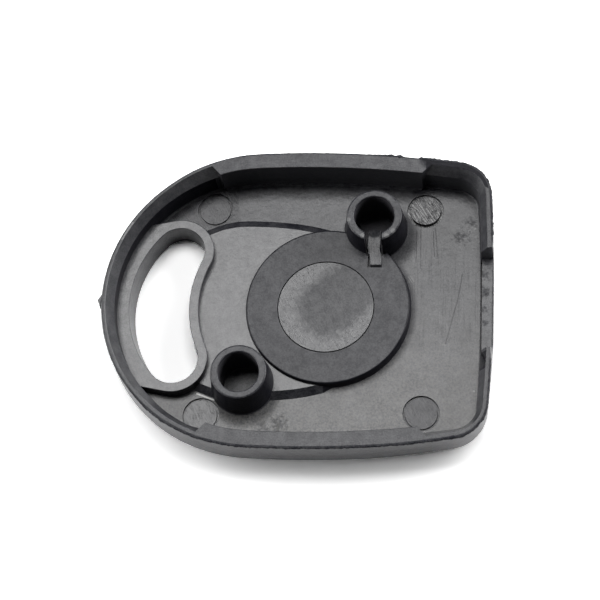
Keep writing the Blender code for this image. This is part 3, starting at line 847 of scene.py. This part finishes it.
def ribbon(name, path, size, level, seed, ragged=FAR_FLASH_TORN, taper_steps=FLASH_TAPER):
    """A ragged strip of flash along a path seen from above, whose outer side is on its right.

    size gives the strip's half width at a place of the path; the strip ends in thin tips.
    """
    path = resampled(path, FLASH_SPACING)
    rings = []
    for i, place in enumerate(path):
        run = i * FLASH_SPACING

        def wave(length, row):
            return noise.noise(Vector((run / length, seed, row)))

        ahead = (path[min(i + 1, len(path) - 1)] - path[max(i - 1, 0)]).normalized()
        outward = Vector((ahead.y, -ahead.x))
        taper = min(1.0, i / taper_steps, (len(path) - 1 - i) / taper_steps)
        torn = wave(FLASH_TEAR, 0.0) + FLASH_WAVE_SHARE * wave(FLASH_WAVE, FLASH_WAVE_ROW)
        half = size(place) * max(FLASH_LEAST, taper * (1.0 + ragged * torn))
        ring = []
        for k, (out, up) in enumerate(FLASH_SECTION):
            reach = half * (1.0 + FLASH_JAG * wave(FLASH_GRAIN, k * FLASH_JAG_ROW))
            spot = place + outward * (out * reach)
            ring.append((spot.x, spot.y, level + up * reach))
        rings.append(ring)
    strip = loft(name, rings)
    strip.data.shade_smooth()
    return strip


def make_flash():
    """Ragged flash on the rim's outer edge, either side of the blade opening, and on the sill."""
    edge = resampled(shell_outline(OUTER_DRAFT + RIM_ROUND * FLASH_SEAT) * 2, FLASH_SPACING)
    half_opening = BLADE_OPENING_WIDTH / 2
    round_trip = len(edge) // 2
    start = 1 + max(
        i for i, p in enumerate(edge[:round_trip]) if p.x > 0.0 and abs(p.y) < half_opening)
    loop = edge[start:start + round_trip]
    far = [p for p in loop if p.y > half_opening and p.x > FAR_FLASH_END]
    near = [p for p in loop if p.y < -half_opening]
    level = HEIGHT - RIM_ROUND * FLASH_SEAT
    sill_end = SILL_FLASH_SHARE * half_opening
    sill = [Vector((LENGTH / 2 - FLASH_SILL_INSET, y)) for y in (-sill_end, sill_end)]
    return [
        ribbon("rim_flash_far", far, along_x(FAR_FLASH), level, SEED),
        ribbon("rim_flash_near", near, along_x(NEAR_FLASH), level, SEED + 1, NEAR_FLASH_TORN),
        ribbon("sill_flash", sill, lambda place: SILL_FLASH_HALF_WIDTH, SILL_TOP, SEED + 2)]


def along_x(stops):
    """A function that gives the half width at a place, from stops in millimetres along X."""
    return lambda place: table(place.x / MM, stops) * MM


def make_gate():
    """The torn stub of the moulding gate on the keyring end."""
    path = [Vector((x * MM, GATE_Y)) for x in (GATE[-1][0], GATE[0][0])]
    return ribbon(
        "gate_stub", path, along_x(GATE), GATE_LEVEL, SEED + 3, GATE_TORN, GATE_TAPER)


def make_emblem():
    """The plain emblem disc: a bevelled flange, and the spigot whose end shows inside."""
    step = EMBLEM_FLANGE_RADIUS - SPIGOT_RADIUS
    return solid(
        "emblem_fine", circle(PAD_CENTRE, EMBLEM_FLANGE_RADIUS),
        (EMBLEM_EDGE_BEVEL, EMBLEM_SINK), (0.0, EMBLEM_SINK + EMBLEM_EDGE_BEVEL, 0.0),
        (0.0, FLANGE_TOP, GAP_EDGE_ROUND), (step, FLANGE_TOP, 0.0),
        (step, PAD_TOP, GAP_EDGE_ROUND), (step + GAP_EDGE_ROUND, PAD_TOP))


def inside(place, corners):
    """Whether a place is within a polygon given in millimetres."""
    x, y = place / MM
    crossings = 0
    for (ax, ay), (bx, by) in zip(corners, corners[1:] + corners[:1]):
        if (ay > y) != (by > y) and x < ax + (bx - ax) * (y - ay) / (by - ay):
            crossings += 1
    return crossings % 2 == 1


def shell_distance(place):
    """How far a place is inside the cover's widest outline."""
    arcs = shell_arcs()
    folded = Vector((place.x, abs(place.y)))
    corner = folded - arcs["corner"][0]
    names = ["side", "end"]
    if place.x < arcs["round"][0].x:
        names.append("round")
    if corner.x > 0.0 and corner.y > 0.0:
        names.append("corner")
    return min(arcs[name][1] - (folded - arcs[name][0]).length for name in names)


def boss_region(place, level, normal):
    """The finish of a face on or in a boss, or nothing."""
    for boss, bore in ((PLAIN_BOSS, "bore"), (SLOTTED_BOSS, "deep_bore")):
        away = (place - boss).length
        in_bore = away < BOSS_BORE_RADIUS + SKIN and level < HEIGHT - BORE_ROUND
        if in_bore and normal.z < LEVEL_NORMAL:
            return bore
        if away < BOSS_BORE_RADIUS and level < FLOOR - SKIN:
            return "bore_floor" if bore == "bore" else bore
        if away < BOSS_TOP_RADIUS + BOSS_FOOT_WIDENING + FOOT_ROUND and level > PAD_TOP:
            if normal.z > TILTED_NORMAL and level > HEIGHT - BOSS_ROUND - SKIN:
                return "boss"
            return "rib" if normal.z > TILTED_NORMAL and level > SILL_TOP else "boss_side"
    return None


def side_region(place, level, normal):
    """The finish of a face that isn't level."""
    if normal.z > SLOPE_NORMAL and level > HEIGHT - LIP_DROP - SKIN:
        return "slope"
    beyond = (place - PAD_CENTRE - PAD_SHIFT).length - PAD_RADIUS - PAD_EXTRA
    if -SKIN < beyond + PAD_FOOT < PAD_DRAFT + 2 * PAD_FOOT + SKIN and level < PAD_TOP:
        return "hollow"
    if place.x < PLAIN_BOSS.x - BOSS_TOP_RADIUS and level < COLLAR_TOP + SKIN:
        return "slot_wall"
    if FLOOR < level < PLATEAU_TOP + SKIN and SLOPE_NORMAL < normal.z:
        return "plateau_side"
    at_round_end = place.x < LEDGE_KEYRING_END_X and level > FLOOR + FLOOR_FILLET
    return "round_wall" if at_round_end else "wall"


def region(centre, normal):
    """The name of the finish of one face of the cover."""
    place, level = centre.xy, centre.z
    if normal.z < -LEVEL_NORMAL or shell_distance(place) < OUTER_DRAFT + RIM_ROUND / 2:
        return "outer"
    behind = place + normal.xy * SKIN
    if level < HEIGHT - SKIN and any(inside(behind, corners) for _, corners in SCOOPS.values()):
        return "hollow"
    on_boss = boss_region(place, level, normal)
    if on_boss:
        return on_boss
    at_rib = (place - SLOTTED_BOSS).length < RIB_REACH + OVERRUN
    if at_rib and RIB_TOP - RIB_ROUND < level < RIB_TOP + SKIN:
        return "rib"
    if normal.z < LEVEL_NORMAL:
        return side_region(place, level, normal)
    if level > HEIGHT - LEVEL_TOLERANCE:
        # The rim's stretch round the far blade-end corner is painted in shade
        if inside(place, SHADED_RIM_CORNERS):
            return "shaded_rim"
        return "round_rim" if place.x < LEDGE_KEYRING_END_X else "rim"
    for name, (mark, _) in mark_places().items():
        if (place - mark).length < MARK_RADIUS + MARK_GROOVE and level < PLATEAU_TOP:
            return {"blade_far": "raised_mark", "keyring_near": "bright_mark"}.get(name, "mark")
    for height, name in (
            (COLLAR_TOP, "collar"), (SILL_TOP, "sill"), (PAD_TOP, "pad"), (PLATEAU_TOP, "plateau")):
        if abs(level - height) < LEVEL_TOLERANCE:
            return name
    return "floor"


def split_rim(cover):
    """Cut the rim's flat face where its stretch painted in shade starts."""
    mesh = bmesh.new()
    mesh.from_mesh(cover.data)
    for start, end in zip(SHADED_RIM_CORNERS[:2], SHADED_RIM_CORNERS[1:3]):
        flat = [face for face in mesh.faces if face.normal.z > LEVEL_NORMAL
                and face.calc_center_median().z > HEIGHT - LEVEL_TOLERANCE]
        edges = {edge for face in flat for edge in face.edges}
        corners = {vertex for face in flat for vertex in face.verts}
        along = Vector(end) - Vector(start)
        bmesh.ops.bisect_plane(
            mesh, geom=flat + list(edges) + list(corners), dist=SAME_POINT,
            plane_co=(start[0] * MM, start[1] * MM, HEIGHT), plane_no=(-along.y, along.x, 0.0))
    mesh.to_mesh(cover.data)
    mesh.free()


def finish_cover(cover, finishes):
    """Give each face of the cover the finish of its region, and shade the rounds smooth."""
    for material in finishes.values():
        cover.data.materials.append(material)
    names = list(finishes)
    for face in cover.data.polygons:
        face.material_index = names.index(region(face.center, face.normal))
    shade(cover)


def shade(obj):
    obj.data.shade_smooth()
    obj.data.set_sharp_from_angle(angle=SMOOTH_ANGLE)
    modifier = obj.modifiers.new("even_normals", "WEIGHTED_NORMAL")
    modifier.keep_sharp = True


# ---- materials

class Shader:
    """Short calls that add nodes to the tree of one material or world."""

    def __init__(self, owner, coordinates="Object"):
        owner.use_nodes = True
        self.owner = owner
        self.tree = owner.node_tree
        self.shader = self.tree.nodes.get("Principled BSDF")
        self.place = self.node("TexCoord").outputs[coordinates]

    def node(self, kind, *inputs, **settings):
        """A new node; inputs come in order or by their names, which have a capital."""
        node = self.tree.nodes.new("ShaderNode" + kind)
        for key, value in settings.items():
            if key[0].isupper():
                self.put(node.inputs[key], value)
            else:
                setattr(node, key, value)
        for socket, value in zip(node.inputs, inputs):
            self.put(socket, value)
        return node

    def put(self, socket, value):
        if hasattr(value, "links"):
            self.tree.links.new(value, socket)
        else:
            socket.default_value = value

    def set(self, name, value):
        """Put a value or a link into one socket of the material's own shader."""
        self.put(self.shader.inputs[name], value)

    def math(self, operation, *values):
        return self.node("Math", *values, operation=operation).outputs[0]

    def times(self, first, second):
        return self.math("MULTIPLY", first, second)

    def vector(self, operation, first, second):
        node = self.node("VectorMath", first, operation=operation)
        self.put(node.inputs["Scale" if operation == "SCALE" else 1], second)
        return node.outputs["Value" if operation in ("DISTANCE", "DOT_PRODUCT") else "Vector"]

    def parts(self, vector):
        return list(self.node("SeparateXYZ", vector).outputs)

    def seen(self):
        """1 on rays that the picture shows, 0 on those that only carry light."""
        path = self.node("LightPath")
        camera, glossy, clear = (
            path.outputs[f"Is {kind} Ray"] for kind in ("Camera", "Glossy", "Transmission"))
        return self.math("MAXIMUM", camera, self.math("MAXIMUM", glossy, clear))

    def noise(self, size, place=None, detail=2.0, rough=0.5):
        """Noise around 0.5 whose bumps are about size across."""
        return self.node(
            "TexNoise", Vector=place or self.place, Scale=1.0 / size, Detail=detail,
            Roughness=rough).outputs["Fac"]

    def ramp(self, value, low, high, start=0.0, end=1.0):
        """Value from low to high, mapped smoothly to start to end and held there."""
        return self.node(
            "MapRange", value, low, high, start, end,
            interpolation_type="SMOOTHSTEP").outputs["Result"]

    def shifted(self, vector, seed):
        return self.vector("ADD", vector, [seed * share for share in NOISE_SHIFT])

    def streaks(self, angle, along, across, threshold, seed=0.0):
        """Thin straight lines at an angle, 1 on a line and 0 off it."""
        turned = self.node(
            "Mapping", self.place, vector_type="TEXTURE", Rotation=(0.0, 0.0, angle),
            Scale=(along, across, along))
        place = self.shifted(turned.outputs["Vector"], seed)
        lines = self.noise(1.0, place, detail=3.0, rough=0.6)
        return self.ramp(lines, threshold, threshold + SCRATCH_EDGE)

    def spot(self, centre, reach, full=0.5):
        """1 in the full share of a round place given in millimetres, falling to 0 at its reach."""
        distance = self.vector("DISTANCE", self.place, Vector(centre) * MM)
        return self.ramp(distance, reach * MM, reach * full * MM)

    def patch(self, spots, ragged, size, low, high):
        """1 within any of the spots, torn by noise of the given size."""
        value = 0.0
        for centre, reach in spots:
            value = self.math("MAXIMUM", value, self.spot(centre, reach, 0.0))
        torn = self.math("SUBTRACT", self.noise(size, detail=4.0, rough=0.65), 0.5)
        share = self.times(self.math("MINIMUM", value, 0.5), 2.0 * ragged)
        return self.ramp(self.math("ADD", value, self.times(torn, share)), low, high)

    def hair(self, start, end, half_width=HAIR_HALF_WIDTH):
        """1 on a straight line between two places, all in millimetres."""
        start, end = Vector((*start, 0.0)) * MM, Vector((*end, 0.0)) * MM
        along = (end - start) / (end - start).length_squared
        away = self.vector("ADD", self.vector("MULTIPLY", self.place, (1.0, 1.0, 0.0)), -start)
        share = self.math("MAXIMUM", self.vector("DOT_PRODUCT", away, along), 0.0)
        foot = self.vector("SCALE", end - start, self.math("MINIMUM", share, 1.0))
        return self.ramp(self.vector("DISTANCE", away, foot), half_width * MM, 0.0)

    def radial(self, centre):
        """Streaks that run towards a centre."""
        x, y, z = self.parts(self.vector("ADD", self.place, (-centre.x, -centre.y, 0.0)))
        turn = self.times(self.math("ARCTAN2", y, x), WIDTH / 2 / STREAK_PITCH)
        place = self.node("CombineXYZ", turn, self.times(z, STREAK_DRIFT / STREAK_PITCH))
        return self.noise(1.0, place.outputs[0], rough=0.6)

    def bump(self, height, distance):
        node = self.node("Bump", Height=height, Distance=distance)
        for link in self.shader.inputs["Normal"].links:
            self.put(node.inputs["Normal"], link.from_socket)
        self.set("Normal", node.outputs["Normal"])

    def mix(self, amount, first, second):
        node = self.node("Mix", data_type="RGBA", Factor=amount)
        colours = [socket for socket in node.inputs if socket.type == "RGBA"]
        for socket, value in zip(colours, (first, second)):
            self.put(socket, value if hasattr(value, "links") else (*value, 1.0))
        return next(socket for socket in node.outputs if socket.type == "RGBA")


def plastic(name, roughness=0.31, specular=0.7, grain=1.0, bright=0.0, seed=0.0,
            black=BLACK, pale=BLACK_LIGHT, scratches=0.0, scratch_angle=MARK_SCRATCH_ANGLE,
            scratch_share=0.52, radial=0.0, smear=(), wear=(), dullness=0.14, pale_patches=()):
    """Black moulded plastic: fine grain, mottled colour, clouds of gloss, dust and scratches.

    smear and wear are marks of use, as spots (centre, reach): a smooth film and torn flecks.
    pale_patches are spots (centre, reach) painted paler: painted light on the slopes, pale flecks
    on the slotted boss's ring.
    """
    kit = Shader(bpy.data.materials.new(name))
    kit.set("Specular IOR Level", specular)
    coarse, clouds, spots, patches, dust = (
        kit.noise(size, kit.shifted(kit.place, offset + seed), detail, rough)
        for size, offset, detail, rough in PLASTIC_NOISE.values())
    kit.bump(kit.noise(GRAIN_SIZE), grain * GRAIN_DEPTH)
    kit.bump(coarse, grain * COARSE_DEPTH)
    rough = kit.math("MULTIPLY_ADD", kit.math("SUBTRACT", clouds, 0.5), CLOUD_GLOSS, roughness)
    mottle = kit.ramp(kit.times(kit.math("ADD", spots, patches), 0.5), *MOTTLE_SPAN, bright)
    tint = kit.mix(mottle, black, pale)
    tint = kit.mix(kit.times(kit.ramp(dust, *DUST_SPAN), DUST_SHARE), tint, DUST)
    film = 0.0
    if smear:
        film = kit.patch(smear, *FILM)
        rough = kit.math("MULTIPLY_ADD", film, dullness, rough)
    if wear:
        rough = kit.math("MULTIPLY_ADD", kit.patch(wear, *FLECKS), dullness, rough)
    if scratches:
        lines = kit.streaks(math.radians(scratch_angle), *SCRATCH_SIZE, scratch_share, seed)
        lines = kit.times(lines, kit.math("SUBTRACT", 1.0, kit.times(film, SCRATCH_FILLED)))
        kit.bump(lines, -scratches * SCRATCH_DEPTH)
        tint = kit.mix(kit.times(lines, SCRATCH_DUST * scratches), tint, DUST)
    if radial:
        lines = kit.radial(shell_arcs()["round"][0])
        kit.bump(lines, radial * SCRATCH_DEPTH)
        tint = kit.mix(kit.ramp(lines, *STREAK_SPAN, 0.0, STREAK_DUST * radial), tint, DUST)
    # Pale spots painted into the colour; on the slopes they are painted light
    if pale_patches:
        tint = kit.mix(kit.times(kit.patch(pale_patches, *FILM), PALE_FILM_SHARE), tint, DUST)
    kit.set("Roughness", rough)
    kit.set("Base Color", tint)
    return kit


def mark_and_light_floor(kit):
    """Give the floor warm painted light towards the near side, specks, flow lines, hairs, pale
    scuffs, a painted highlight and shade.
    """
    rough, tint = (kit.shader.inputs[name] for name in ("Roughness", "Base Color"))
    # Painted light: the floor grows paler and warmer towards the near side
    near = kit.ramp(kit.parts(kit.place)[1], *PAINTED_LIGHT_SPAN, 0.0, PAINTED_LIGHT_SHARE)
    mottle = kit.ramp(kit.noise(PAINTED_LIGHT_GRAIN, detail=3.0), *PAINTED_LIGHT_MOTTLE)
    colour = kit.mix(kit.times(near, mottle), tint.links[0].from_socket, WARM_PAINTED_LIGHT)
    colour = kit.mix(kit.times(kit.patch(SPECKS, *SMALL_SPECKS), SPECK_SHARE), colour, DUST)
    lines = kit.times(kit.streaks(*FLOW_LINES), kit.times(kit.spot(*FLOW_PLACE), FLOW_SHARE))
    for start, end in HAIRS:
        lines = kit.math("MAXIMUM", lines, kit.hair(start, end))
    kit.bump(lines, -HAIR_DEPTH)
    dull = kit.math("MULTIPLY_ADD", lines, HAIR_DULLNESS, rough.links[0].from_socket)
    for shade_spot in FLOOR_SHADE:
        dull = kit.math("MULTIPLY_ADD", kit.spot(*shade_spot), FLOOR_SHADE_DULLNESS, dull)
    kit.put(rough, dull)
    # The first pale line is a painted highlight on the floor, the others pale scuffs
    for start, end, half_width, share in GLINT_AND_SCUFF_LINES:
        colour = kit.mix(kit.times(kit.hair(start, end, half_width), share), colour, GLINT_AND_SCUFF_PALE)
    kit.put(tint, colour)


def foam_finish():
    """Dense bonding foam: matt, with fine open cells."""
    kit = Shader(bpy.data.materials.new("adhesive_foam_cells"))
    cells = kit.node("TexVoronoi", Vector=kit.place, Scale=1.0 / FOAM_CELL)
    pores = kit.ramp(cells.outputs["Distance"], *FOAM_PORES)
    kit.bump(pores, FOAM_DEPTH)
    kit.set("Base Color", kit.mix(pores, FOAM_DARK, FOAM_LIGHT))
    kit.set("Roughness", kit.ramp(pores, 0.0, 1.0, *FOAM_ROUGHNESS))
    return kit.owner


def cover_finishes():
    """The material of each region of the cover, by how it departs from the plain plastic."""
    # Painted shade: darker, nearly glossless copies for the round end's wall, the hollows and the
    # pad's foot, the dark stretch of rim and the bosses' flanks
    painted_shade = dict(black=SHADE_PAINTED_BLACK, pale=SHADE_PAINTED_PALE)
    # Painted shade and light: bores get almost no gloss, so they stay dark as in shade, and a paler
    # base lifts their black
    bore = dict(specular=0.05, black=BORE_BLACK)
    # Partly painted light: the level tops get a paler mottle that makes them read lighter
    flat = dict(bright=0.1, pale=MOTTLE_AND_SHEEN_PALE)
    looks = {
        "outer": dict(specular=0.34, seed=0.3, pale=OUTER_LIGHT),
        # Painted shade and light: the walls get low gloss and a paler base
        "wall": dict(specular=0.28, seed=1.1, black=WALL_BLACK),
        "round_wall": dict(specular=0.04, seed=1.2, **painted_shade),
        "slope": dict(specular=0.74, seed=1.6, radial=1.0, pale_patches=SLOPE_PAINTED_LIGHT),
        "slot_wall": dict(specular=0.44, seed=1.9, radial=1.0),
        "plateau_side": dict(specular=0.26, seed=1.3),
        "hollow": dict(specular=0.14, seed=2.0, **painted_shade),
        "rim": dict(specular=0.34, seed=2.2, grain=1.3, smear=RIM_SMUDGE, dullness=0.5),
        "shaded_rim": dict(specular=0.07, seed=2.2, grain=1.3, **painted_shade),
        "round_rim": dict(specular=0.74, seed=2.4),
        "boss": dict(specular=0.29, seed=2.9, pale_patches=BOSS_PALE_FLECKS),
        "boss_side": dict(specular=0.06, seed=3.0, **painted_shade),
        "bore": dict(seed=3.1, **bore),
        "bore_floor": dict(specular=0.52, seed=3.1, roughness=0.42),
        "deep_bore": dict(seed=3.2, **bore),
        "rib": dict(specular=0.42, seed=3.7, scratches=0.9, scratch_angle=92.0,
                    smear=ROOT_SHADE, dullness=0.6),
        "floor": dict(specular=0.51, seed=3.4, wear=SMUDGES, dullness=0.25),
        "mark": dict(specular=0.41, seed=4.2, scratches=0.8),
        "bright_mark": dict(specular=0.67, seed=4.3, scratches=0.8, bright=0.4),
        "raised_mark": dict(specular=0.54, seed=4.7, scratches=4.6, scratch_share=0.45),
        "collar": dict(specular=0.74, seed=5.0, **flat),
        "sill": dict(specular=0.48, seed=5.6, grain=1.6, wear=SILL_WEAR, dullness=0.4),
        "pad": dict(specular=0.24, seed=6.3),
        "plateau": dict(specular=0.72, seed=7.1, **flat),
    }
    kits = {name: plastic("black_" + name, **look) for name, look in looks.items()}
    mark_and_light_floor(kits["floor"])
    return {name: kit.owner for name, kit in kits.items()}


# ---- stage, light and camera

def make_table():
    """White paper; past the picture's edge it glows as much as the backdrop."""
    mesh = bmesh.new()
    bmesh.ops.create_grid(mesh, x_segments=1, y_segments=1, size=TABLE_HALF_SIZE)
    table = add_mesh("table", mesh)
    kit = Shader(bpy.data.materials.new("white_table"))
    kit.set("Specular IOR Level", 0.0)
    kit.set("Roughness", TABLE_ROUGHNESS)
    paper = kit.ramp(kit.noise(PAPER_SIZE), *PAPER_MOTTLE)
    shade_white = [value * PAPER_SHADE for value in TABLE_WHITE]
    kit.set("Base Color", kit.mix(paper, TABLE_WHITE, shade_white))
    seen = kit.seen()
    seen_white = kit.node("BsdfDiffuse", kit.mix(seen, (0.0,) * 3, (TABLE_SEEN_WHITE,) * 3))
    lit = kit.node("AddShader", kit.shader.outputs[0], seen_white.outputs[0])
    far = kit.ramp(kit.vector("DISTANCE", kit.place, (0.0,) * 3), *TABLE_FADE_SPAN)
    mixed = kit.node(
        "MixShader", kit.times(seen, far), lit.outputs[0], kit.node("Emission").outputs[0])
    output = next(node for node in kit.tree.nodes if node.type == "OUTPUT_MATERIAL")
    kit.put(output.inputs["Surface"], mixed.outputs[0])
    table.data.materials.append(kit.owner)


def make_world():
    """A dim room that lights little; its horizon is seen as a plain white backdrop."""
    world = bpy.data.worlds.new("studio")
    kit = Shader(world, "Generated")
    horizon = kit.ramp(kit.parts(kit.place)[2], *HORIZON_SPAN, 1.0, ROOM_DARK)
    strength = kit.node("Mix", data_type="FLOAT", Factor=kit.seen(), A=ROOM_LIGHT, B=horizon)
    background = kit.tree.nodes["Background"]
    kit.put(background.inputs["Strength"], strength.outputs["Result"])
    background.inputs["Color"].default_value = (1.0, 1.0, 1.0, 1.0)
    bpy.context.scene.world = world


def make_softboxes():
    for name, box in SOFTBOXES.items():
        light = bpy.data.lights.new(name, "AREA")
        light.shape = "RECTANGLE"
        light.size, light.size_y = box["size"]
        light.energy = box["radiance"] * math.pi * light.size * light.size_y
        lamp = add_object(name, light)
        lamp.visible_camera = False
        elevation = math.radians(box["elevation"])
        level = polar(math.radians(box["azimuth"])) * math.cos(elevation)
        towards = Vector((level.x, level.y, math.sin(elevation)))
        lamp.location = towards * SOFTBOX_DISTANCE
        lamp.rotation_euler = towards.to_track_quat("Z", "Y").to_euler()


def make_camera():
    data = bpy.data.cameras.new("camera")
    data.sensor_width = CAMERA_SENSOR
    data.lens = CAMERA_LENS
    data.clip_start, data.clip_end = CAMERA_CLIP
    camera = add_object("camera", data)
    camera.location = Vector(CAMERA_PLACE) * MM
    camera.rotation_euler = Euler([math.radians(angle) for angle in CAMERA_TURN])
    bpy.context.scene.camera = camera


def main():
    bpy.context.scene.view_settings.view_transform = "Standard"
    make_camera()
    make_world()
    make_softboxes()
    make_table()

    cover = make_cover()
    settle(cover)
    split_rim(cover)
    finish_cover(cover, cover_finishes())
    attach(cover, "root")
    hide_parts("cover_shell")

    emblem = make_emblem()
    # The emblem's top gets a paler mottle, partly painted light
    emblem.data.materials.append(plastic(
        "emblem_black", specular=0.60, bright=0.1, scratches=1.1, pale=MOTTLE_AND_SHEEN_PALE,
        scratch_angle=EMBLEM_SCRATCH_ANGLE, smear=SMEAR, dullness=0.23, seed=8.4).owner)
    shade(emblem)
    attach(emblem, "root")
    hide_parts("emblem_blank")

    flash = plastic("black_flash", roughness=0.5, specular=0.10, grain=1.5, seed=9.1).owner
    gate = make_gate()
    gate.data.materials.append(cover.data.materials["black_outer"])
    strips = make_flash()
    for strip in strips:
        strip.data.materials.append(flash)
    for piece in strips + [gate]:
        settle(piece)
        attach(piece, "root")

    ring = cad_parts["emblem_adhesive_ring"]
    ring.data.materials[0] = foam_finish()


main()
